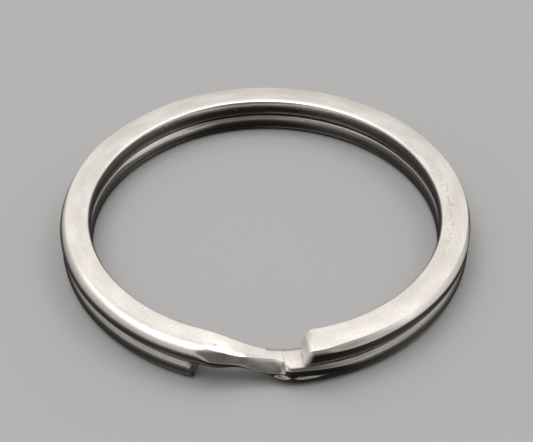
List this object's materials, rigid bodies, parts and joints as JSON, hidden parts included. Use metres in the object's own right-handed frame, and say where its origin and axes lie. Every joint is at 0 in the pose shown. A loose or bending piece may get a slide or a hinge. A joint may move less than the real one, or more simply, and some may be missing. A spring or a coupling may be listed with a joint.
{
  "type": "split key ring",
  "caption": "Split key ring of flattened spring wire: two closed coils joined by a stepped crank, with free ends that pry open to take a key.",
  "frame": {"origin": "centre of the ring, on the surface it lies on", "axes": "+Z along the ring's axis, out of the surface it lies on; -Y through the crank; +X towards the stretch of upper coil that ends in its free end"},
  "size_m": [0.03, 0.0299, 0.0032],
  "materials": {
    "plated_wire": "satin nickel plate, tumbled, with polished shoulders and fine tool marks at the crank"
  },
  "bodies": {
    "lower_front_left": {"lower_coil_front_left": "plated_wire"},
    "lower_back_left": {"lower_coil_back_left": "plated_wire"},
    "lower_back_right": {"lower_coil_back_right": "plated_wire"},
    "crank_and_shoulders": {"lower_coil_front_right": "plated_wire", "crank": "plated_wire", "upper_coil_front_left": "plated_wire"},
    "upper_back_left": {"upper_coil_back_left": "plated_wire"},
    "upper_back_right": {"upper_coil_back_right": "plated_wire"},
    "upper_front_right": {"upper_coil_front_right": "plated_wire"}
  },
  "joints": [
    {"name": "lower_left_flexure", "type": "hinge", "parent": "lower_front_left", "child": "lower_back_left", "pos_m": [-0.01354, 0.00306, 0.00071], "axis": [-0.2207, -0.9753, 0], "range_deg": [0, 1.72], "stiffness_Nm_per_rad": 0.02},
    {"name": "lower_end_opening", "type": "hinge", "parent": "lower_back_left", "child": "lower_back_right", "pos_m": [0.00157, 0.0138, 0.00071], "axis": [-0.9936, 0.1132, 0], "range_deg": [0, 3.8], "stiffness_Nm_per_rad": 0.02},
    {"name": "lower_right_flexure", "type": "hinge", "parent": "lower_back_right", "child": "crank_and_shoulders", "pos_m": [0.01388, -0.00006, 0.00071], "axis": [0.0044, 1, 0], "range_deg": [0, 2.55], "stiffness_Nm_per_rad": 0.02},
    {"name": "upper_left_flexure", "type": "hinge", "parent": "crank_and_shoulders", "child": "upper_back_left", "pos_m": [-0.01364, 0.00262, 0.00221], "axis": [-0.1887, -0.982, 0], "range_deg": [0, 2.6], "stiffness_Nm_per_rad": 0.02},
    {"name": "upper_end_opening", "type": "hinge", "parent": "upper_back_left", "child": "upper_back_right", "pos_m": [0.00091, 0.01386, 0.00221], "axis": [-0.9979, 0.0654, 0], "range_deg": [0, 3.75], "stiffness_Nm_per_rad": 0.02},
    {"name": "upper_right_flexure", "type": "hinge", "parent": "upper_back_right", "child": "upper_front_right", "pos_m": [0.01386, 0.00082, 0.00221], "axis": [-0.0589, 0.9983, 0], "range_deg": [0, 1.67], "stiffness_Nm_per_rad": 0.02}
  ],
  "couplings": [
    {"joint": "lower_left_flexure", "follows": "lower_end_opening", "ratio": 0.4509},
    {"joint": "lower_right_flexure", "follows": "lower_end_opening", "ratio": 0.6686},
    {"joint": "upper_left_flexure", "follows": "upper_end_opening", "ratio": 0.6929},
    {"joint": "upper_right_flexure", "follows": "upper_end_opening", "ratio": 0.4448}
  ]
}
